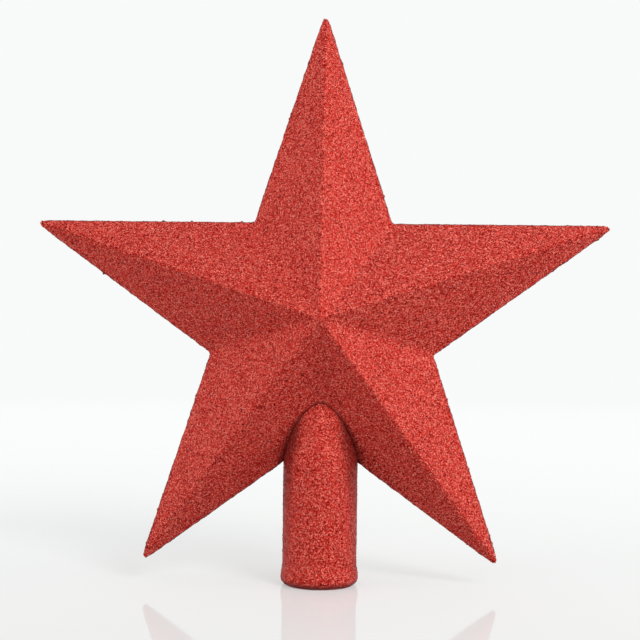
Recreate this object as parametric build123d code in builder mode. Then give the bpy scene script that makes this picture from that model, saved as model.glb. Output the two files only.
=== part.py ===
from build123d import *
import os
from math import cos, hypot, pi, sin, tan

# Star as moulded: a regular star outline whose straight edges run from point to point
point_count = 5
tip_reach = 105.8  # centre of the star to the sharp corner of a point
centre_height = 93.5  # centre of the star above the mouth of the sleeve
facet_rise = 26.2  # raised centre of a half above the lower edge of its facets
edge_land = 0.9  # straight rim of a half, between the joint and its facets
tip_rounding = 0.6  # round on each point, seen from the front
shell_wall = 1.4  # wall of a half, square to its facets

# Joint between the two halves
pin_radius = 1.6  # pins that stand on ridges inside the front half
pin_reach = 5.0  # pin past the joint, into its socket
pin_clearance = 0.15  # round a pin and past its end
boss_radius = 3.2  # bosses inside the rear half that hold the sockets
bead_width = 0.8  # cement bead, across the joint
bead_proud = 0.35  # cement bead past the glitter on the rim

# Mounting sleeve: a tube with a flared foot and a tapered nose inside the star
bore_radius = 11.2
sleeve_wall = 1.46
nose_drop = 9.0  # start of the nose below the bottom notch of the star
nose_length = 16.0  # first taper of the nose
nose_taper = 2.5  # radius lost over it
cap_length = 7.0  # second, steeper taper up to the flat end
cap_taper = 3.2
foot_flare = 0.54  # foot outside the straight wall
foot_height = 3.2  # top of the foot, where the flare begins
flare_length = 4.8  # flare from the foot up to the straight wall
rim_flat = 0.5  # flat ring round the mouth, on which the star stands
mouth_clearance = 0.1  # round the sleeve, where it enters the star
ear_lift = 6.9  # ears and their pins above the bottom notch of the star
ear_width = 7.0
ear_thickness = 2.2
ear_clearance = 0.1  # round the ears, at the bosses

# Glitter coat
coat_thickness = 0.3
coat_hem = 0.25  # lower edge of the coat on the sleeve above the mouth

# Cuts run this far past the face that they open
cut_overrun = 2.0

# Star geometry: edge_reach is the distance from the centre to each straight edge
quarter_turn = 90
notch_turn = pi / point_count  # angle from a notch to the next point
edge_reach = tip_reach * cos(2 * notch_turn)
facet_slope = facet_rise / edge_reach  # facet height lost for each step outwards
slope_length = hypot(1, facet_slope)  # way along a facet for each step outwards
cavity_reach = edge_reach - shell_wall * slope_length / facet_slope
coat_land = edge_land + coat_thickness * (slope_length - facet_slope)
bead_reach = coat_thickness + bead_proud
mid_plane = Plane(origin=(0, 0, centre_height), x_dir=(1, 0, 0), z_dir=(0, -1, 0))

# Sleeve geometry: the bevel round the rim is at 45 degrees, the bore tapers with the nose
sleeve_radius = bore_radius + sleeve_wall
foot_radius = sleeve_radius + foot_flare
rim_radius = bore_radius + rim_flat
rim_bevel = foot_radius - rim_radius
bevel_share = tan(pi / 8)  # how far each end of the bevel moves when its faces are grown
flare_top = foot_height + flare_length
notch_height = centre_height - edge_reach / cos(notch_turn)
nose_start = notch_height - nose_drop
cap_start = nose_start + nose_length
sleeve_top = cap_start + cap_length

# Pin places: on the ridges of the top point and of the two lowest points, which carry the ears
ear_drop = centre_height - notch_height - ear_lift
ear_offset = ear_drop * tan(notch_turn)
pin_circle = ear_drop / cos(notch_turn)
top_turn = (2 * (point_count // 2) + 1) * notch_turn
ear_places = Locations((-ear_offset, -ear_drop), (ear_offset, -ear_drop))
pin_places = Locations(*ear_places, (pin_circle * sin(top_turn), -pin_circle * cos(top_turn)))


def star_outline(reach, rounding):
    """Flat star with its edges at reach from the centre, a notch at the bottom and rounded points."""
    notch_and_point = (reach / cos(notch_turn), reach / cos(2 * notch_turn))
    corners = []
    for step in range(2 * point_count):
        corner_reach = notch_and_point[step % 2]
        turn = step * notch_turn
        corners.append((corner_reach * sin(turn), -corner_reach * cos(turn)))
    with BuildSketch() as outline:
        with BuildLine():
            Polyline(*corners, close=True)
        make_face()
        if rounding > 0:
            points = outline.vertices().sort_by_distance((0, 0))[point_count:]
            fillet(points, rounding)
    return outline.sketch


def half_star(reach, land, rounding, start=0):
    """Front half of a star: a straight rim from start to land, then facets up to the raised centre."""
    outline = star_outline(reach, rounding)
    peak = mid_plane.offset(land + reach * facet_slope).origin
    with BuildPart() as half:
        with BuildSketch(mid_plane.offset(start)):
            add(outline)
        extrude(amount=land - start)
        with BuildSketch(mid_plane.offset(land)) as facet_base:
            add(outline)
        loft([facet_base.sketch.face(), Vertex(peak)], ruled=True)
    return half.part


def half_hollow(post_radius):
    """Hollow of a half, which leaves a round post standing at every pin."""
    cavity = half_star(cavity_reach, edge_land, 0)
    with BuildPart() as hollow:
        add(cavity)
        with BuildSketch(mid_plane):
            with pin_places:
                Circle(post_radius)
        extrude(amount=edge_land + facet_rise, mode=Mode.SUBTRACT)
    return hollow.part


def sleeve_form(skin):
    """Outside of the sleeve grown by skin: bevelled rim, flared foot, straight wall and tapered nose."""
    wall_radius = sleeve_radius + skin
    with BuildPart() as form:
        with BuildSketch(Plane.XZ):
            with BuildLine():
                Polyline(
                    (0, -skin),
                    (rim_radius + skin * bevel_share, -skin),
                    (foot_radius + skin, rim_bevel - skin * bevel_share),
                    (foot_radius + skin, foot_height),
                    (wall_radius, flare_top),
                    (wall_radius, nose_start),
                    (wall_radius - nose_taper, cap_start),
                    (wall_radius - nose_taper - cap_taper, sleeve_top + skin),
                    (0, sleeve_top + skin),
                    close=True,
                )
            make_face()
        revolve(axis=Axis.Z)
    return form.part


def ear_bar(margin):
    """Flat bar with round ends, from one lower pin to the other, grown by margin on every side."""
    with BuildPart() as bar:
        with BuildSketch(mid_plane):
            with Locations((0, -ear_drop)):
                SlotCenterToCenter(2 * ear_offset, ear_width + 2 * margin)
        extrude(amount=ear_thickness / 2 + margin, both=True)
    return bar.part


# Forms that several pieces share
solid_half = half_star(edge_reach, edge_land, tip_rounding)
coated_half = half_star(
    edge_reach + coat_thickness, coat_land, tip_rounding + coat_thickness, bead_width / 2
)
pin_hollow = half_hollow(pin_radius)
boss_hollow = half_hollow(boss_radius)
bare_outline = star_outline(edge_reach, tip_rounding)
bead_outline = star_outline(edge_reach + bead_reach, tip_rounding + bead_reach)
bare_sleeve = sleeve_form(0)
coated_sleeve = sleeve_form(coat_thickness)
shell_mouth = sleeve_form(mouth_clearance)
coat_mouth = sleeve_form(coat_thickness + mouth_clearance)
ears = ear_bar(0)
ear_seat = ear_bar(ear_clearance)
nose_plane = Plane.XY.offset(nose_start)

# Front shell, with its pins and a mouth that lets the sleeve out
with BuildPart() as front_shell:
    add(solid_half)
    add(pin_hollow, mode=Mode.SUBTRACT)
    add(shell_mouth, mode=Mode.SUBTRACT)
    with BuildSketch(mid_plane):
        with pin_places:
            Circle(pin_radius)
    extrude(amount=-pin_reach)

# Rear shell, with a socket in every boss, where the lower two bosses stop short for the ears
with BuildPart() as rear_shell:
    mirror(solid_half, about=Plane.XZ)
    mirror(boss_hollow, about=Plane.XZ, mode=Mode.SUBTRACT)
    add(shell_mouth, mode=Mode.SUBTRACT)
    add(ear_seat, mode=Mode.SUBTRACT)
    with BuildSketch(mid_plane):
        with pin_places:
            Circle(pin_radius + pin_clearance)
    extrude(amount=-pin_reach - pin_clearance, mode=Mode.SUBTRACT)

# Mounting sleeve, with two ears that hang on the lower pins and a blind bore
with BuildPart() as mounting_sleeve:
    add(bare_sleeve)
    add(ears)
    with BuildSketch(mid_plane):
        with ear_places:
            Circle(pin_radius + pin_clearance)
    extrude(amount=ear_thickness, both=True, mode=Mode.SUBTRACT)
    with BuildSketch(Plane.XZ):
        with BuildLine():
            Polyline(
                (0, -cut_overrun),
                (bore_radius, -cut_overrun),
                (bore_radius, nose_start),
                (bore_radius - nose_taper, cap_start),
                (0, cap_start),
                close=True,
            )
        make_face()
    revolve(axis=Axis.Z, mode=Mode.SUBTRACT)

# Cement bead round the joint, open where the sleeve comes out
with BuildPart() as seam_bead:
    with BuildSketch(mid_plane):
        add(bead_outline)
        add(bare_outline, mode=Mode.SUBTRACT)
    extrude(amount=bead_width / 2, both=True)
    add(coat_mouth, mode=Mode.SUBTRACT)

# Coated nose, the front half of it
with BuildPart() as front_nose:
    add(coated_sleeve)
    split(bisect_by=nose_plane)
    split(bisect_by=mid_plane)

# Opening for the coated wall of the sleeve below its nose
with BuildPart() as wall_mouth:
    add(coat_mouth)
    split(bisect_by=nose_plane, keep=Keep.BOTTOM)

# Glitter on the facets of each half and on the nose where it stands out of them
with BuildPart() as front_glitter_coat:
    add(coated_half)
    add(front_nose.part)
    add(solid_half, mode=Mode.SUBTRACT)
    add(bare_sleeve, mode=Mode.SUBTRACT)
    add(wall_mouth.part, mode=Mode.SUBTRACT)

with BuildPart() as rear_glitter_coat:
    mirror(front_glitter_coat.part, about=Plane.XZ)

# Glitter on the wall of the sleeve, from the hem above its mouth up to the nose
with BuildPart() as sleeve_glitter_coat:
    add(coated_sleeve)
    add(bare_sleeve, mode=Mode.SUBTRACT)
    add(solid_half, mode=Mode.SUBTRACT)
    mirror(solid_half, about=Plane.XZ, mode=Mode.SUBTRACT)
    split(bisect_by=Plane.XY.offset(coat_hem))
    split(bisect_by=nose_plane, keep=Keep.BOTTOM)

pieces = {
    "front_shell": front_shell,
    "rear_shell": rear_shell,
    "mounting_sleeve": mounting_sleeve,
    "seam_bead": seam_bead,
    "front_glitter_coat": front_glitter_coat,
    "rear_glitter_coat": rear_glitter_coat,
    "sleeve_glitter_coat": sleeve_glitter_coat,
}
os.makedirs("parts", exist_ok=True)
for name, piece in pieces.items():
    piece.part.label = name
    export_step(piece.part, f"parts/{name}.step")
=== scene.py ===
"""Looks of a Christmas tree topper: a red glitter star on a round mounting sleeve."""
from math import cos, hypot, pi, radians, sin, sqrt

import bpy
import numpy as np
from mathutils import Matrix, Vector


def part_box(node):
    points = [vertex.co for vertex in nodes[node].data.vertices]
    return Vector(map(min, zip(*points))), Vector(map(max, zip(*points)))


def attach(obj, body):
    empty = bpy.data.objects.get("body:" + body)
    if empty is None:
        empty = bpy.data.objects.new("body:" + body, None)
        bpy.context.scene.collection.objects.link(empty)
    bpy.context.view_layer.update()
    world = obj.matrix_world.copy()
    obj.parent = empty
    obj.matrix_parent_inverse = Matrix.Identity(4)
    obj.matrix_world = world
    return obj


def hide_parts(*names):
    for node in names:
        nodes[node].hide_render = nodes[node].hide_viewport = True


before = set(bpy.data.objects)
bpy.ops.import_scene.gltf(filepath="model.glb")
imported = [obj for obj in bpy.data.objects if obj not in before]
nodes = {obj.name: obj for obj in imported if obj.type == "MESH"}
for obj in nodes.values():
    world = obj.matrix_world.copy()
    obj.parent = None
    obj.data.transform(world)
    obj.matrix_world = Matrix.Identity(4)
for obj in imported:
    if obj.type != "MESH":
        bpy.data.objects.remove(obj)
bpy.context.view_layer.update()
mm = 0.001

# Star under its glitter, as in the solids
point_count = 5
tip_reach = 105.8 * mm  # centre of the star to the sharp corner of a point
centre_height = 93.5 * mm
facet_rise = 26.2 * mm
edge_land = 0.9 * mm
coat_thickness = 0.3 * mm
star_centre = np.array([0, 0, centre_height])
notch_turn = pi / point_count
half_point = pi / 2 - 2 * notch_turn  # angle between a straight edge and its ridge
shell_reach = tip_reach * cos(2 * notch_turn)  # centre to each straight edge
facet_slope = facet_rise / shell_reach
slope_length = hypot(1, facet_slope)

# Outside of the glitter on the star
coat_reach = shell_reach + coat_thickness
coat_tip = coat_reach / cos(2 * notch_turn)  # centre to the sharp corner of a point
coat_notch = coat_reach / cos(notch_turn)  # centre to the sharp corner of a notch
coat_land = edge_land + coat_thickness * (slope_length - facet_slope)
coat_rise = coat_reach * facet_slope
tip_round = 0.9 * mm
notch_round = 1.4 * mm
ridge_soften = 0.55 * mm  # half width of the round along a ridge
valley_soften = 1.9 * mm
seam_half = 0.25 * mm  # each coat stops this far from the middle plane, under the bead
rim_levels = (0.8, 0.45, seam_half / coat_land)  # rows down the rim, as shares of its height
rim_swell = coat_thickness / 4  # glitter on the rim stands this far out

# Outside of the glitter on the sleeve
sleeve_radius = 12.96 * mm
foot_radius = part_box("sleeve_glitter_coat")[1].x
foot_round = 2.6 * mm
foot_height = 3.2 * mm
flare_top = 8.0 * mm
hem_turn = radians(-68)  # how far round the lower edge the glitter reaches
rim_gap = 0.06 * mm
nose_heights = np.array([44.09, 60.09, 67.39]) * mm  # ends of the nose's two tapers
nose_radii = sleeve_radius - np.array([0, 2.5, 5.7]) * mm  # at those heights
nose_soften = 1.5 * mm
nose_end_gap = 0.1 * mm  # from the last row of the sleeve to the end of its nose
joint_sink = 0.4 * mm  # glitter of the sleeve and of the star run this far into each other
lining_depth = 0.8 * coat_thickness  # inside of the sleeve's glitter below its outside

# Painted shade on the facets in the groove between the sleeve and the star
# share of full colour left where the painted shade is deepest
deepest_shade_share = 0.22
groove_heights = np.array([52, 66]) * mm
groove_widths = np.array([3.5, 1.2]) * mm  # on the facets, at those heights

# Painted shade towards the sides of the sleeve, where the star's lower points shade it, and painted contact
# shadow towards its mouth
side_heights = np.array([0, 26, 50]) * mm
side_starts = np.array([0.8, 0.72, 0.48])  # distance aside over the radius, where the painted shade starts
side_unshaded_shares = np.array([0.75, 0.68, 0.45])  # share of full colour left at the sides under the painted shade, at those heights
side_fade = 0.3  # from the start of the painted shade to its darkest
hem_heights = np.array([0.5, 2.9]) * mm  # painted contact shadow darkens the glitter towards the mouth between these heights

# Grain of the glitter
flake_corners = 6
flake_radius = 0.22 * mm
flake_sizes = (0.75, 1.25)  # smallest and largest flake, over the usual radius
flake_depth = 0.14 * mm
flake_lift = 0.04 * mm
flake_lifts = (0.2, 2.0)  # lowest and highest flake, over the usual lift
flake_tilt = 0.23  # spread of the flakes' slopes
flake_density = 2.6 / mm**2
rim_flake_share = 0.045  # flakes on the rim for each flake on the facets
tip_clear = 2.1 * tip_round  # flakes keep this far from the sharp corner of a point
upright_limit = 0.8  # steeper flakes take another axis as their guide
relief_sizes = (4.5 * mm, 2.4 * mm)
relief_heights = (0.07 * mm, 0.05 * mm)

# Map of the flakes: a square for each, with its plate on the left and its cone on the right
map_radius = 0.22
plate_middle = (0.25, 0.5)
cone_middle = (0.75, 0.5)

# Cement bead with its burrs
bead_proud = 0.36 * mm
bead_half_width = 0.5 * mm
bead_swell = 0.3
bead_swell_size = 1.6 * mm
bead_rough = 0.1 * mm
bead_rough_size = 0.4 * mm
bead_at_tip = 0.3  # bead at the end of a point, as a share of the bead elsewhere
bead_tip_fade = 3.5 * mm
burr_count = 110
burr_size = 0.38  # mean burr, over the plain bead
burr_narrowest = 0.25 * mm
burr_widest = 0.6 * mm

# Seeds of the chance patterns
facet_seed = 11
rim_seed = 21
wall_seed = 31
sleeve_seed = 71
bead_seed = 91
half_seeds = {"front": 100, "rear": 200}
point_seed_step = 10

# Mesh steps
arc_steps = 24
half_edge_steps = 96
facet_rows = 84
search_start = 0.3  # share of the way from the raised centre outwards where the sleeve is looked for
search_steps = 500
sleeve_columns = 232
sleeve_rows = 120
lining_step = 24  # rows of the sleeve's outside for each row inside
flare_steps = 24
nose_steps = 60
soften_steps = 9
profile_steps = 900
bead_steps = 4  # for each step of the outline
bead_sides = 10
lattice_size = 31

# Glitter, from the darkest to the brightest tone
flake_tones = (
    (0.0, (0.10, 0.001, 0.001)),
    (0.16, (0.33, 0.005, 0.004)),
    (0.42, (0.54, 0.022, 0.016)),
    (0.75, (0.70, 0.088, 0.066)),
    (1.0, (0.84, 0.23, 0.18)),
)
# Dark red of painted shade: the glitter is blended towards it in the groove by the sleeve and at the sleeve's
# sides and mouth
painted_shade_colour = (0.07, 0.004, 0.004, 1.0)
foil_metal = 0.15
foil_gloss = 0.3
foil_sheen = (1.0, 0.3, 0.22, 1.0)
flake_roughness = (0.5, 0.28)  # of the darkest and of the brightest flake
bed_grain = 0.34 * mm
bed_roughness = (0.3, 0.55)
bed_lean = 0.65  # spread of the fine glitter's slopes
mid_value = (0.5, 0.5, 0.5)

# Cement
cement_tones = (
    (0.0, (0.06, 0.006, 0.005)),
    (0.6, (0.2, 0.016, 0.014)),
    (1.0, (0.5, 0.06, 0.05)),
)
cement_grain = 0.55 * mm
cement_roughness = (0.35, 0.6)

# Moulded plastic
moulded_tones = ((0.3, (0.42, 0.02, 0.018)), (0.7, (0.6, 0.045, 0.04)))
moulded_roughness = (0.28, 0.45)
mottle = {"Scale": 90, "Detail": 4}
skin = {"Scale": 1400, "Detail": 2}
skin_bump = {"Strength": 0.15, "Distance": 0.1 * mm}

# Floor and surroundings
floor_half = 3.0
mouth_radius = 11 * mm
fade_start = 0.25  # the floor fades out between these distances from the object
fade_end = 1.1
table_colour = (0.5, 0.508, 0.504, 1)
table_roughness = 0.06
table_index = 1.12  # of refraction
table_glow = (0.98, 1, 0.99, 1)
glow_strength = 0.37
surround_colour = (0.94, 0.957, 0.948, 1)
even_light = 0.52

# Lamps: place, size and power
key_place = (0.9, -1.2, 1.0)
lamps = {
    "key_right": (key_place, 0.7, 14.9),
    "key_sheen": (key_place, 0.7, 17.5),
    "side_right": ((1.3, -0.16, 0.17), 0.6, 7.2),
    "wide_left": ((-1.6, -0.85, 0.2), 0.7, 9.1),
    "side_left": ((-1.3, -0.16, 0.17), 0.6, 2.2),
}

# Camera
camera_place = (13.2 * mm, -500 * mm, 95.4 * mm)
camera_turn = radians(1.6)
camera_tilt = radians(-0.3)
camera_roll = radians(0.69)
camera_lens = 80.1
camera_near = 10 * mm


def directions(angles):
    """Vectors of length one in a plane: the cosine and the sine of each angle."""
    return np.stack([np.cos(angles), np.sin(angles)], axis=-1)


def in_space(places, depth):
    """Places or directions of the star's plane in space: across, at a depth, and up."""
    depth = np.broadcast_to(depth, places.shape[:-1])
    return np.stack([places[..., 0], depth, places[..., 1]], axis=-1)


def about_axis(radius, turn, height):
    """Places at a radius from the sleeve's axis and a turn about it, at a height."""
    return np.stack([radius * np.cos(turn), radius * np.sin(turn), height], axis=-1)


def even_steps(path, count):
    """Points at even steps along a path of straight runs, both ends included."""
    runs = np.hypot(*np.diff(path, axis=0).T)
    way = np.concatenate(([0], np.cumsum(runs)))
    stations = np.linspace(0, way[-1], count)
    return np.stack([np.interp(stations, way, axis) for axis in path.T], axis=1)


def arc(centre, radius, start, end):
    """Arc in a plane: its centre plus its radius times the directions of even angles."""
    return np.asarray(centre) + radius * directions(np.linspace(start, end, arc_steps))


def turned(points, angle):
    """Points of a plane turned about its origin."""
    turn = np.array([[cos(angle), sin(angle)], [-sin(angle), cos(angle)]])
    return points @ turn


def unit(vectors):
    """Vectors of length one."""
    return vectors / np.linalg.norm(vectors, axis=-1, keepdims=True)


def smooth_step(value):
    """Cubic ease from 0 to 1 as a value goes from 0 to 1."""
    share = np.clip(value, 0, 1)
    return share * share * (3 - 2 * share)


def grain(places, size, seed):
    """Smooth noise from -1 to 1: chance values on a lattice of a size, blended between its corners."""
    lattice = np.random.default_rng(seed).uniform(-1, 1, (lattice_size,) * 3)
    scaled = places / size
    cell = np.floor(scaled).astype(int)
    share = smooth_step(scaled - cell)
    total = 0
    for corner in np.ndindex(2, 2, 2):
        weight = np.where(corner, share, 1 - share).prod(axis=-1)
        index = np.moveaxis((cell + corner) % lattice_size, -1, 0)
        total = total + weight * lattice[tuple(index)]
    return total


def relief(places, seed):
    """Uneven lacquer: the sum of two smooth noises, each of its own size and height."""
    layers = zip(relief_sizes, relief_heights)
    return sum(height * grain(places, size, seed + i) for i, (size, height) in enumerate(layers))


def ring_faces(rows, columns):
    """Four-cornered faces between neighbouring rows of a grid whose columns close into rings."""
    here = np.arange(rows * columns).reshape(rows, columns)
    beside = np.roll(here, -1, axis=1)
    return np.stack([here[:-1], here[1:], beside[1:], beside[:-1]], axis=-1).reshape(-1, 4)


def pole_faces(ring, pole):
    """Three-cornered faces from each step of a closed ring to one pole."""
    return np.stack([ring, np.roll(ring, -1), np.full_like(ring, pole)], axis=1)


def closed_faces(rows, columns):
    """Faces of a grid of rings, closed at either end by one of the two points that follow the grid."""
    first = np.arange(columns)
    last = first + (rows - 1) * columns
    start = pole_faces(first, rows * columns)
    end = pole_faces(last, rows * columns + 1)[:, ::-1]
    return [ring_faces(rows, columns), start, end]


def add_piece(name, points, face_groups, replaced, material, smooth, values=None):
    """Piece from an array of points, from arrays of faces, one for each number of corners, and from named
    values for the points."""
    corners = np.concatenate([group.ravel() for group in face_groups])
    sizes = np.concatenate([np.full(len(group), group.shape[1]) for group in face_groups])
    mesh = bpy.data.meshes.new(name)
    mesh.vertices.add(len(points))
    mesh.loops.add(len(corners))
    mesh.polygons.add(len(sizes))
    mesh.vertices.foreach_set("co", points.astype(np.float32).ravel())
    mesh.loops.foreach_set("vertex_index", corners.astype(np.int32))
    mesh.polygons.foreach_set("loop_start", (np.cumsum(sizes) - sizes).astype(np.int32))
    mesh.polygons.foreach_set("use_smooth", np.full(len(sizes), smooth))
    mesh.update(calc_edges=True)
    for key, value in (values or {}).items():
        attribute = mesh.attributes.new(key, "FLOAT", "POINT")
        attribute.data.foreach_set("value", value.astype(np.float32))
    mesh.materials.append(material)
    piece = bpy.data.objects.new(name, mesh)
    bpy.context.scene.collection.objects.link(piece)
    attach(piece, "root")
    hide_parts(replaced)
    return piece


# Star outline


def half_outline():
    """Outline from a notch to the end of a point that lies along the first axis: arc, straight edge, arc."""
    half_notch = notch_turn + half_point
    edge_angle = -2 * notch_turn  # outward normal of the edge
    notch_centre = directions(-notch_turn) * (coat_notch + notch_round / sin(half_notch))
    tip_centre = (coat_tip - tip_round / sin(half_point), 0)
    notch_arc = arc(notch_centre, notch_round, pi - notch_turn, pi + edge_angle)
    tip_arc = arc(tip_centre, tip_round, edge_angle, 0)
    return even_steps(np.concatenate([notch_arc, tip_arc]), half_edge_steps + 1)


def ridge_angle(point):
    """Angle of a point's ridge in the star's plane, counted from the point right of the bottom notch."""
    return -pi / 2 + notch_turn * (2 * point + 1)


def full_outline():
    """Closed outline from the bottom notch: a half outline and its mirror image, turned to each point."""
    rising = half_outline()
    falling = rising[::-1] * (1, -1)
    both = np.concatenate([rising[:-1], falling[:-1]])
    return np.concatenate([turned(both, ridge_angle(point)) for point in range(point_count)])


def outline_normals(outline):
    """Outward normals of a closed outline, square to the line between each point's neighbours."""
    along = np.roll(outline, -1, axis=0) - np.roll(outline, 1, axis=0)
    return unit(np.stack([along[:, 1], -along[:, 0]], axis=1))


def folded(across, up):
    """Distance from the star's axis and angle from the nearest valley, for places in the star's plane."""
    angle = np.arctan2(across, -up)
    fold = np.abs((angle + notch_turn) % (2 * notch_turn) - notch_turn)
    return np.hypot(across, up), fold


def softening(across, up):
    """Rise of a valley and fall of a ridge: a parabola over the soft width either side of its line."""
    reach, fold = folded(across, up)
    ridge_height = facet_slope * sin(2 * notch_turn) * ridge_soften / 2
    valley_height = facet_slope * sin(notch_turn) * valley_soften / 2
    from_ridge = reach * np.sin(notch_turn - fold) / ridge_soften
    from_valley = reach * np.sin(fold) / valley_soften
    rise = valley_height * np.clip(1 - from_valley, 0, 1) ** 2
    return rise - ridge_height * np.clip(1 - from_ridge, 0, 1) ** 2


# Mounting sleeve


def sleeve_reach(height):
    """Radius of the sleeve's wall and nose at a height: straight runs, averaged a short way up and down."""
    offsets = np.linspace(-nose_soften, nose_soften, soften_steps)
    radii = [np.interp(height + offset, nose_heights, nose_radii) for offset in offsets]
    return np.where(height < nose_heights[-1], np.mean(radii, axis=0), 0)


def sleeve_profile():
    """Radius and height of the sleeve's outside: round lower edge, foot, eased flare, straight wall, nose."""
    edge_centre = (foot_radius - foot_round, rim_gap + foot_round)
    edge = arc(edge_centre, foot_round, hem_turn, 0)
    rise = np.linspace(0, 1, flare_steps)
    flare_radius = foot_radius + (sleeve_radius - foot_radius) * smooth_step(rise)
    flare_height = foot_height + (flare_top - foot_height) * rise
    flare = np.stack([flare_radius, flare_height], axis=1)
    nose_start, nose_end = nose_heights[0] - nose_soften, nose_heights[-1] - nose_end_gap
    nose_height = np.linspace(nose_start, nose_end, nose_steps)
    nose = np.stack([sleeve_reach(nose_height), nose_height], axis=1)
    return even_steps(np.concatenate([edge, flare, nose]), profile_steps)


def first_crossing(excess, stations):
    """Station in each column at which an excess first rises to zero, or the last station."""
    inside = excess >= 0
    after = np.where(inside.any(axis=0), inside.argmax(axis=0), len(stations) - 1)
    after = np.maximum(after, 1)
    column = np.arange(excess.shape[1])
    low, high = excess[after - 1, column], excess[after, column]
    share = np.clip(-low / np.where(high > low, high - low, 1), 0, 1)
    return stations[after - 1] + share * (stations[after] - stations[after - 1])


def sleeve_top():
    """Sleeve's profile with its stations, angles of its columns, and the station at which each column enters
    the star's facets or its edge."""
    profile = sleeve_profile()
    angles = np.linspace(0, 2 * pi, sleeve_columns, endpoint=False)
    across = profile[:, :1] * np.cos(angles)
    depth = np.abs(profile[:, :1] * np.sin(angles))
    up = profile[:, 1:] - centre_height
    reach, fold = folded(across, up)
    from_edge = coat_reach - reach * np.cos(fold + notch_turn)
    excess = np.minimum(coat_land + facet_slope * from_edge - depth, from_edge)
    stations = np.linspace(0, 1, len(profile))
    return profile, stations, angles, first_crossing(excess, stations)


# Glitter layers


def facet_unshaded_share(places):
    """Share of full colour left on the facets under painted shade: least against the sleeve, full from the
    width of the groove.
    """
    gap = np.hypot(places[:, 0], places[:, 1]) - sleeve_reach(places[:, 2])
    width = np.interp(places[:, 2], groove_heights, groove_widths)
    return deepest_shade_share + (1 - deepest_shade_share) * smooth_step(gap / width)


def sleeve_unshaded_share(places):
    """Share of full colour left on the sleeve under painted shade: less towards its sides, the more so the
    higher up, and painted contact shadow at the hem."""
    aside = np.abs(places[:, 0]) / np.hypot(places[:, 0], places[:, 1])
    start = np.interp(places[:, 2], side_heights, side_starts)
    least = np.interp(places[:, 2], side_heights, side_unshaded_shares)
    # painted shade at the sides, under the star's lower points
    side = smooth_step((aside - start) / side_fade)
    # painted contact shadow towards the mouth, where the sleeve stands on the table
    contact_shade = smooth_step(np.interp(places[:, 2], hem_heights, (deepest_shade_share, 1)))
    return contact_shade * (1 - (1 - least) * side)


def facet_ends(outline):
    """Share of the way from the raised centre to each point of the outline at which the facets end: the whole
    way, or just past the place where the line meets the sleeve. Also says which lines meet it."""
    trial = np.linspace(search_start, 1, search_steps)[:, None]
    trial_depth = coat_land + coat_rise * (1 - trial)
    wall = sleeve_reach(centre_height + trial * outline[:, 1])
    excess = wall - np.hypot(trial * outline[:, 0], trial_depth)
    at_sleeve = (excess >= 0).any(axis=0)
    meeting = first_crossing(excess, trial[:, 0]) + joint_sink / coat_reach
    return np.where(at_sleeve, np.minimum(meeting, 1), 1), at_sleeve


def rim_rows(edge, normals, side, at_sleeve):
    """Rows from the lower edge of the facets down the rim and back up inside it, or, at the sleeve, straight
    down through the layer in even steps."""
    side_axis = np.array([0, side, 0])
    out = in_space(normals, 0)
    swell = (relief(edge, rim_seed) + rim_swell)[:, None]
    seam = edge * (1, 0, 1)
    inside = seam - out * coat_thickness
    rows = [seam + out * swell + side_axis * coat_land * level for level in rim_levels]
    rows += [inside + side_axis * seam_half, inside + side_axis * edge_land]
    inward = -side_axis * coat_thickness * slope_length
    steps = np.linspace(1 / len(rows), 1, len(rows))[:, None, None]
    return np.where(at_sleeve[:, None], edge + inward * steps, np.stack(rows))


def star_coat(name, side, replaced, material):
    """Glitter layer of one half: straight lines from the raised centre to the outline, or to the sleeve where
    they meet it first, softened at ridges and valleys and roughened, then round the rim and back inside."""
    outline = full_outline()[::-side]
    normals = outline_normals(outline) * -side
    end, at_sleeve = facet_ends(outline)
    share = np.linspace(0, 1, facet_rows + 1)[1:, None] * end
    places = share[..., None] * outline
    depth = coat_land + coat_rise * (1 - share) + softening(places[..., 0], places[..., 1])
    facets = star_centre + in_space(places, side * depth)
    facets[..., 1] += side * relief(facets, facet_seed)
    grid = np.concatenate([facets, rim_rows(facets[-1], normals, side, at_sleeve)])

    peak = np.array([[0, side * (coat_land + coat_rise + softening(0.0, 0.0)), centre_height]])
    hollow_peak = np.array([[0, side * (edge_land + facet_rise), centre_height]])
    points = np.concatenate([grid.reshape(-1, 3), peak, hollow_peak])
    faces = closed_faces(*grid.shape[:2])
    # painted shade in the groove by the sleeve, kept as a value of the points
    unshaded_share = {"unshaded_share": facet_unshaded_share(points)}
    return add_piece(name, points, faces, replaced, material, True, unshaded_share)


def sleeve_coat(name, replaced, material):
    """Glitter layer of the sleeve: its profile turned about its axis, up to the star, roughened, and back
    inside to its first row."""
    profile, stations, angles, top = sleeve_top()
    limit = np.minimum(top + joint_sink / nose_heights[-1], 1)
    share = np.linspace(0, 1, sleeve_rows)[:, None] * limit
    radius = np.interp(share, stations, profile[:, 0])
    height = np.interp(share, stations, profile[:, 1])
    radius = np.concatenate([radius, radius[::-lining_step] - lining_depth])
    height = np.concatenate([height, height[::-lining_step]])
    rough = np.zeros(radius.shape)
    rough[1:sleeve_rows] = relief(about_axis(radius, angles, height)[1:sleeve_rows], wall_seed)
    grid = about_axis(radius + rough, angles, height)
    rows, columns = grid.shape[:2]
    faces = ring_faces(rows + 1, columns) % (rows * columns)
    points = grid.reshape(-1, 3)
    # painted shade at the sleeve's sides and painted contact shadow at its mouth, kept as a value of the
    # points
    unshaded_share = {"unshaded_share": sleeve_unshaded_share(points)}
    return add_piece(name, points, [faces[:, ::-1]], replaced, material, True, unshaded_share)


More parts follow.
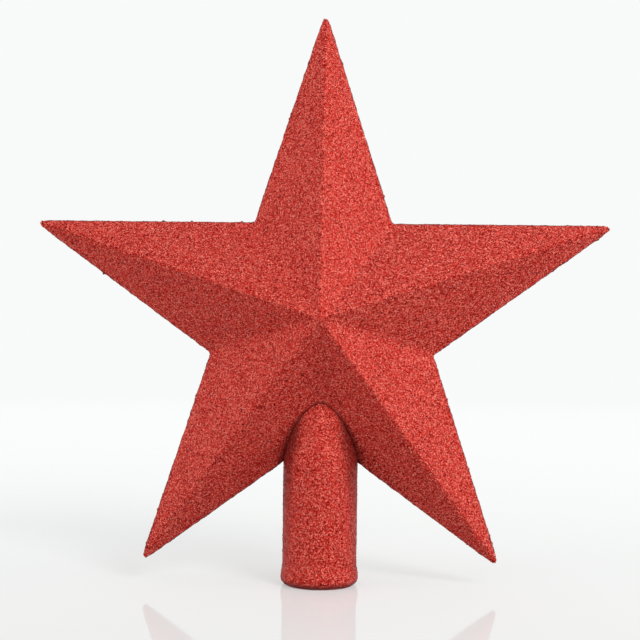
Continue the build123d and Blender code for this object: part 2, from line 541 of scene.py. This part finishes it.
def add_flake_map(mesh, count, cone):
    """Map of the flakes: a square for each, in rows, with a hexagon for its plate and one for its cone, whose
    foot is in the middle."""
    side = int(np.ceil(sqrt(count)))
    cell = np.stack([np.arange(count) % side, np.arange(count) // side], axis=1)[:, None]
    hexagon = map_radius * directions(2 * pi / flake_corners * np.arange(flake_corners))
    cone_corners = np.concatenate([hexagon, [[0, 0]]])[cone.ravel()]
    plates = (cell + plate_middle + hexagon) / side
    cones = (cell + cone_middle + cone_corners) / side
    places = np.concatenate([plates.reshape(-1, 2), cones.reshape(-1, 2)])
    layer = mesh.uv_layers.new(name="OFBake")
    layer.uv.foreach_set("vector", places.astype(np.float32).ravel())


def add_flakes(name, centres, normals, unshaded_share, seed, replaced, material):
    """Hexagonal flakes: six corners round each centre in a plane near the surface, and a foot in the lacquer
    below. Each flake has a tone and, at its place, the share of its colour left by the painted shade."""
    chance = np.random.default_rng(seed)
    count = len(centres)
    facing = unit(normals + flake_tilt * chance.normal(size=(count, 3)))
    guide = np.where(np.abs(facing[:, 2:]) < upright_limit, (0, 0, 1), (1, 0, 0))
    first = unit(np.cross(guide, facing))
    second = np.cross(facing, first)
    radius = flake_radius * chance.uniform(*flake_sizes, (count, 1, 1))
    step = np.arange(flake_corners)
    corner_turn = 2 * pi / flake_corners
    angles = chance.uniform(0, corner_turn, (count, 1, 1)) + corner_turn * step[:, None]
    middle = centres + normals * flake_lift * chance.uniform(*flake_lifts, (count, 1))
    spokes = first[:, None] * np.cos(angles) + second[:, None] * np.sin(angles)
    corners = middle[:, None] + radius * spokes
    foot = (middle - normals * flake_depth)[:, None]
    points = np.concatenate([corners, foot], axis=1)
    tone = chance.random(count)

    flake_points = points.shape[1]
    start = flake_points * np.arange(count)[:, None]
    cone = np.stack([(step + 1) % flake_corners, step, np.full_like(step, flake_corners)], axis=1)
    faces = [start + step, (start[:, None] + cone).reshape(-1, 3)]
    values = {"tone": np.repeat(tone, flake_points), "unshaded_share": np.repeat(unshaded_share, flake_points)}
    points = points.reshape(-1, 3)
    piece = add_piece(name, points, faces, replaced, material, False, values)
    add_flake_map(piece.data, count, cone)
    return piece


def star_flakes(name, side, point, seed, replaced, material):
    """Flakes on one point of one half: even chances over its two facets, and over its share of the rim."""
    chance = np.random.default_rng(seed)
    area = coat_tip * coat_notch * sin(notch_turn) * slope_length
    count = int(area * flake_density)
    far, aside = np.sort(chance.random((2, count)), axis=0)[::-1]
    hand = chance.choice((-1, 1), count)
    ridge = ridge_angle(point)
    along_ridge = directions(ridge) * coat_tip * (far - aside)[:, None]
    place = along_ridge + directions(ridge + hand * notch_turn) * coat_notch * aside[:, None]
    depth = coat_land + coat_rise * (1 - far) + softening(place[:, 0], place[:, 1])
    facet_centres = star_centre + in_space(place, side * depth)
    facet_normals = unit(in_space(facet_slope * directions(ridge + hand * 2 * notch_turn), side))

    outline = full_outline()
    steps = 2 * half_edge_steps
    column = chance.integers(point * steps, (point + 1) * steps, int(count * rim_flake_share))
    out = outline_normals(outline)[column]
    rim_depth = side * chance.uniform(seam_half, coat_land, len(column))
    rim_centres = star_centre + in_space(outline[column] + out * rim_swell, rim_depth)
    centres = np.concatenate([facet_centres, rim_centres])
    normals = np.concatenate([facet_normals, in_space(out, 0)])
    centres[:, 1] += side * relief(centres, facet_seed) * (normals[:, 1] != 0)

    from_tip = coat_tip - np.hypot(centres[:, 0], centres[:, 2] - centre_height)
    from_sleeve = np.hypot(centres[:, 0], centres[:, 1]) - sleeve_reach(centres[:, 2])
    kept = (from_sleeve > -joint_sink / 2) & (from_tip > tip_clear)
    centres, normals = centres[kept], normals[kept]
    # flakes carry the painted shade of the groove at their places
    return add_flakes(name, centres, normals, facet_unshaded_share(centres), seed + 1, replaced, material)


def sleeve_flakes(name, replaced, material):
    """Flakes on the sleeve: even chances round it and up its profile, below the star."""
    chance = np.random.default_rng(sleeve_seed)
    profile, stations, angles, top = sleeve_top()
    length = np.hypot(*np.diff(profile, axis=0).T).sum()
    count = int(2 * pi * sleeve_radius * length * flake_density)
    turn = chance.uniform(0, 2 * pi, count)
    way = chance.random(count)
    below_star = way < np.interp(turn, angles, top, period=2 * pi)
    turn, way = turn[below_star], way[below_star]
    radius, height = [np.interp(way, stations, axis) for axis in profile.T]
    along = np.gradient(profile, axis=0)
    out = unit(np.stack([along[:, 1], -along[:, 0]], axis=1))
    aside, up = [np.interp(way, stations, axis) for axis in out.T]
    normals = unit(about_axis(aside, turn, up))
    centres = about_axis(radius, turn, height)
    centres += normals * relief(centres, wall_seed)[:, None]
    # flakes carry the painted shade and painted contact shadow at their places
    unshaded_share = sleeve_unshaded_share(centres)
    return add_flakes(name, centres, normals, unshaded_share, sleeve_seed + 1, replaced, material)


def cement_bead(name, replaced, material):
    """Bead along the joint: an oval section carried round the outline from one side of the sleeve to the
    other, swollen by noise and by burrs at chance places, and thinner at the points."""
    chance = np.random.default_rng(bead_seed)
    outline = full_outline()
    closed = np.concatenate([outline, outline[:1]])
    path = even_steps(closed, bead_steps * len(outline) + 1)[:-1]
    out = outline_normals(path)
    free = np.abs(path[:, 0]) > sleeve_radius - joint_sink
    free |= path[:, 1] > 0
    path, out = path[free], out[free]
    way = np.concatenate(([0], np.cumsum(np.hypot(*np.diff(path, axis=0).T))))

    path_in_space = np.stack([path[:, 0], path[:, 1], np.zeros(len(path))], axis=1)
    swell = 1 + bead_swell * grain(path_in_space, bead_swell_size, bead_seed + 1)
    places = chance.uniform(0, way[-1], burr_count)
    sizes = burr_size * chance.exponential(1.0, burr_count)
    widths = chance.uniform(burr_narrowest, burr_widest, burr_count)
    for place, size, width in zip(places, sizes, widths):
        swell = swell + size * np.exp(-(((way - place) / width) ** 2))
    reach = np.hypot(path[:, 0], path[:, 1])
    from_tip = smooth_step((reach.max() - reach) / bead_tip_fade)
    swell = (swell * (bead_at_tip + (1 - bead_at_tip) * from_tip))[:, None]

    around = np.linspace(0, 2 * pi, bead_sides, endpoint=False)
    proud = bead_proud * swell * np.cos(around)
    wide = bead_half_width * np.sqrt(swell) * np.sin(around)
    grid = star_centre + in_space(path[:, None] + out[:, None] * proud[..., None], wide)
    rough = bead_rough * grain(grid, bead_rough_size, bead_seed + 2)
    grid = grid + rough[..., None] * in_space(out, 0)[:, None]
    ends = grid[[0, -1]].mean(axis=1)
    points = np.concatenate([grid.reshape(-1, 3), ends])
    faces = [group[:, ::-1] for group in closed_faces(*grid.shape[:2])]
    return add_piece(name, points, faces, replaced, material, True)


# Materials


def new_material(name):
    """Material with its node tree and its Principled shader."""
    material = bpy.data.materials.new(name)
    material.use_nodes = True
    tree = material.node_tree
    return material, tree, tree.nodes["Principled BSDF"]


def add_node(tree, kind, inputs=None, **settings):
    """Shader node with its settings, and with its inputs set to values or linked from sockets."""
    node = tree.nodes.new(kind)
    for key, value in settings.items():
        setattr(node, key, value)
    for key, value in (inputs or {}).items():
        if isinstance(value, bpy.types.NodeSocket):
            tree.links.new(value, node.inputs[key])
        else:
            node.inputs[key].default_value = value
    return node


def add_math(tree, operation, first, second):
    """Result of a math node on two numbers."""
    node = add_node(tree, "ShaderNodeMath", {0: first, 1: second}, operation=operation)
    return node.outputs["Value"]


def add_vector_math(tree, operation, inputs):
    """Result of a math node on vectors."""
    node = add_node(tree, "ShaderNodeVectorMath", inputs, operation=operation)
    return node.outputs["Vector"]


def object_place(tree):
    """Place on the object."""
    return add_node(tree, "ShaderNodeTexCoord").outputs["Object"]


def point_value(tree, name):
    """One of the values that the points of a piece carry."""
    return add_node(tree, "ShaderNodeAttribute", attribute_name=name).outputs["Fac"]


def chance_cells(tree, size):
    """Small cells of a size, each with its own chance colour."""
    inputs = {"Vector": object_place(tree), "Scale": 1 / size}
    return add_node(tree, "ShaderNodeTexVoronoi", inputs).outputs["Color"]


def ramp_colour(tree, value, stops):
    """Colour at a value on a ramp, from stops that are pairs of place and colour."""
    node = add_node(tree, "ShaderNodeValToRGB", {"Fac": value})
    elements = node.color_ramp.elements
    while len(elements) < len(stops):
        elements.new(0.5)
    for element, (place, colour) in zip(elements, stops):
        element.position = place
        element.color = (*colour, 1)
    return node.outputs["Color"]


def set_roughness(tree, shader, value, ends):
    """Roughness between two ends, as a value goes from 0 to 1."""
    inputs = {"Value": value, "To Min": ends[0], "To Max": ends[1]}
    spread = add_node(tree, "ShaderNodeMapRange", inputs)
    tree.links.new(spread.outputs["Result"], shader.inputs["Roughness"])


def set_glitter(tree, shader, tone):
    """Foil under lacquer: its tone on the ramp, blended towards a dark colour of painted shade as the share
    left unshaded falls.
    """
    colour = ramp_colour(tree, tone, flake_tones)
    # painted shade: the point value blends the tone towards the dark painted-shade colour
    blend = {0: point_value(tree, "unshaded_share"), 6: painted_shade_colour, 7: colour}
    mix = add_node(tree, "ShaderNodeMix", blend, data_type="RGBA")
    tree.links.new(mix.outputs[2], shader.inputs["Base Color"])
    shader.inputs["Metallic"].default_value = foil_metal
    shader.inputs["Specular IOR Level"].default_value = foil_gloss
    shader.inputs["Specular Tint"].default_value = foil_sheen


def glitter_flake_material():
    """Red foil flakes under lacquer, each with its own tone."""
    material, tree, shader = new_material("red_glitter_flakes")
    tone = point_value(tree, "tone")
    set_glitter(tree, shader, tone)
    set_roughness(tree, shader, tone, flake_roughness)
    return material


def glitter_bed_material():
    """Fine glitter in lacquer: small cells, each with its own tone and its own slope."""
    material, tree, shader = new_material("red_glitter_bed")
    cells = chance_cells(tree, bed_grain)
    split = add_node(tree, "ShaderNodeSeparateColor", {"Color": cells})
    set_glitter(tree, shader, split.outputs["Red"])
    set_roughness(tree, shader, split.outputs["Green"], bed_roughness)
    centred = add_vector_math(tree, "SUBTRACT", {0: cells, 1: mid_value})
    lean = add_vector_math(tree, "SCALE", {0: centred, "Scale": bed_lean})
    surface = add_node(tree, "ShaderNodeNewGeometry")
    tilted = add_vector_math(tree, "ADD", {0: surface.outputs["Normal"], 1: lean})
    facing = add_vector_math(tree, "NORMALIZE", {0: tilted})
    tree.links.new(facing, shader.inputs["Normal"])
    return material


def cement_material():
    """Dark glittered cement: small cells of dark tones, a few of them brighter."""
    material, tree, shader = new_material("dark_red_cement")
    cells = chance_cells(tree, cement_grain)
    split = add_node(tree, "ShaderNodeSeparateColor", {"Color": cells})
    colour = ramp_colour(tree, split.outputs["Red"], cement_tones)
    tree.links.new(colour, shader.inputs["Base Color"])
    set_roughness(tree, shader, split.outputs["Green"], cement_roughness)
    return material


def moulded_material():
    """Red moulded plastic: slightly mottled in colour and gloss, with a fine grain."""
    material, tree, shader = new_material("moulded_red_plastic")
    place = object_place(tree)
    cloud = add_node(tree, "ShaderNodeTexNoise", {"Vector": place, **mottle}).outputs["Fac"]
    tree.links.new(ramp_colour(tree, cloud, moulded_tones), shader.inputs["Base Color"])
    set_roughness(tree, shader, cloud, moulded_roughness)
    fine = add_node(tree, "ShaderNodeTexNoise", {"Vector": place, **skin}).outputs["Fac"]
    bump = add_node(tree, "ShaderNodeBump", {"Height": fine, **skin_bump})
    tree.links.new(bump.outputs["Normal"], shader.inputs["Normal"])
    return material


# Object

flakes = glitter_flake_material()
bed = glitter_bed_material()
cement = cement_material()
moulded = moulded_material()
for name in ("front_shell", "rear_shell", "mounting_sleeve"):
    nodes[name].data.materials.clear()
    nodes[name].data.materials.append(moulded)

sides = {"front": -1, "rear": 1}  # where each half lies along the depth axis
point_names = ("lower_right", "right", "top", "left", "lower_left")
for half, side in sides.items():
    replaced = f"{half}_glitter_coat"
    star_coat(f"{half}_glitter_bed", side, replaced, bed)
    for point, point_name in enumerate(point_names):
        name = f"{half}_flakes_{point_name}"
        seed = half_seeds[half] + point_seed_step * point
        star_flakes(name, side, point, seed, replaced, flakes)
sleeve_coat("sleeve_glitter_bed", "sleeve_glitter_coat", bed)
sleeve_flakes("sleeve_flakes", "sleeve_glitter_coat", flakes)
cement_bead("joint_cement", "seam_bead", cement)

# Floor, light and camera


def seen_share(tree):
    """1 for what the camera sees, directly, mirrored or through something clear, and 0 for other light."""
    path = add_node(tree, "ShaderNodeLightPath")
    seen = add_math(tree, "MAXIMUM", path.outputs["Is Camera Ray"], path.outputs["Is Glossy Ray"])
    return add_math(tree, "MAXIMUM", seen, path.outputs["Is Transmission Ray"])


def mix_into(tree, output, share, first, second):
    """Blend of two shaders, from the first at a share of 0 to the second at 1, linked to the output."""
    mix = add_node(tree, "ShaderNodeMixShader", {0: share, 1: first, 2: second})
    tree.links.new(mix.outputs["Shader"], tree.nodes[output].inputs["Surface"])


def floor_material():
    """Pale glossy table that fades out far from the object, isn't seen from below and is open under the
    sleeve's mouth."""
    material, tree, shader = new_material("pale_table")
    shader.inputs["Base Color"].default_value = table_colour
    shader.inputs["Roughness"].default_value = table_roughness
    shader.inputs["IOR"].default_value = table_index
    shader.inputs["Emission Color"].default_value = table_glow
    glow = add_math(tree, "MULTIPLY", seen_share(tree), glow_strength)
    tree.links.new(glow, shader.inputs["Emission Strength"])
    measure = {0: object_place(tree)}
    reach = add_node(tree, "ShaderNodeVectorMath", measure, operation="LENGTH").outputs["Value"]
    ends = {"Value": reach, "From Min": fade_start, "From Max": fade_end}
    fade = add_node(tree, "ShaderNodeMapRange", ends).outputs["Result"]
    below = add_node(tree, "ShaderNodeNewGeometry").outputs["Backfacing"]
    gone = add_math(tree, "MAXIMUM", fade, below)
    mouth = add_math(tree, "LESS_THAN", reach, mouth_radius)
    hidden = add_math(tree, "MAXIMUM", gone, mouth)
    clear = add_node(tree, "ShaderNodeBsdfTransparent").outputs["BSDF"]
    mix_into(tree, "Material Output", hidden, shader.outputs["BSDF"], clear)
    return material


def add_floor():
    """Square floor at the level on which the sleeve stands."""
    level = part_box("mounting_sleeve")[0].z
    signs = ((-1, -1), (1, -1), (1, 1), (-1, 1))
    corners = [(floor_half * x, floor_half * y, level) for x, y in signs]
    mesh = bpy.data.meshes.new("floor")
    mesh.from_pydata(corners, [], [range(len(corners))])
    mesh.materials.append(floor_material())
    floor = bpy.data.objects.new("floor", mesh)
    bpy.context.scene.collection.objects.link(floor)
    return floor


def add_world():
    """White surroundings for the camera and for reflections, and an even grey light for the rest."""
    world = bpy.data.worlds.new("studio")
    world.use_nodes = True
    tree = world.node_tree
    light = tree.nodes["Background"]
    light.inputs["Color"].default_value = (1, 1, 1, 1)
    light.inputs["Strength"].default_value = even_light
    white = add_node(tree, "ShaderNodeBackground", {"Color": surround_colour, "Strength": 1})
    backgrounds = (light.outputs["Background"], white.outputs["Background"])
    mix_into(tree, "World Output", seen_share(tree), *backgrounds)
    bpy.context.scene.world = world


def add_lamp(name, place, size, power):
    """Soft square lamp that faces the middle of the star, and isn't itself seen or mirrored."""
    lamp = bpy.data.lights.new(name, "AREA")
    lamp.size = size
    lamp.energy = power
    holder = bpy.data.objects.new(name, lamp)
    facing = Vector(star_centre - place).to_track_quat("-Z", "Y")
    holder.matrix_world = Matrix.Translation(place) @ facing.to_matrix().to_4x4()
    holder.visible_camera = False
    holder.visible_glossy = False
    bpy.context.scene.collection.objects.link(holder)
    return holder


def gloss_only(lamp, spared):
    """Lamp whose light shows only as gloss, on everything but the spared object."""
    lamp.visible_diffuse = False
    lamp.visible_glossy = True
    unlit = bpy.data.collections.new("unlit")
    unlit.objects.link(spared)
    unlit.collection_objects[0].light_linking.link_state = "EXCLUDE"
    lamp.light_linking.receiver_collection = unlit


def add_camera():
    """Camera at its place, turned about the upright, tilted from level, and rolled about its own axis."""
    camera = bpy.data.objects.new("camera", bpy.data.cameras.new("camera"))
    camera.data.lens = camera_lens
    camera.data.clip_start = camera_near
    turn = Matrix.Rotation(camera_turn, 4, "Z")
    tilt = Matrix.Rotation(pi / 2 + camera_tilt, 4, "X")
    roll = Matrix.Rotation(camera_roll, 4, "Z")
    camera.matrix_world = Matrix.Translation(camera_place) @ turn @ tilt @ roll
    bpy.context.scene.collection.objects.link(camera)
    bpy.context.scene.camera = camera


floor = add_floor()
add_world()
holders = {name: add_lamp(name, *lamp) for name, lamp in lamps.items()}
gloss_only(holders["key_sheen"], floor)
add_camera()
bpy.context.scene.view_settings.view_transform = "Standard"
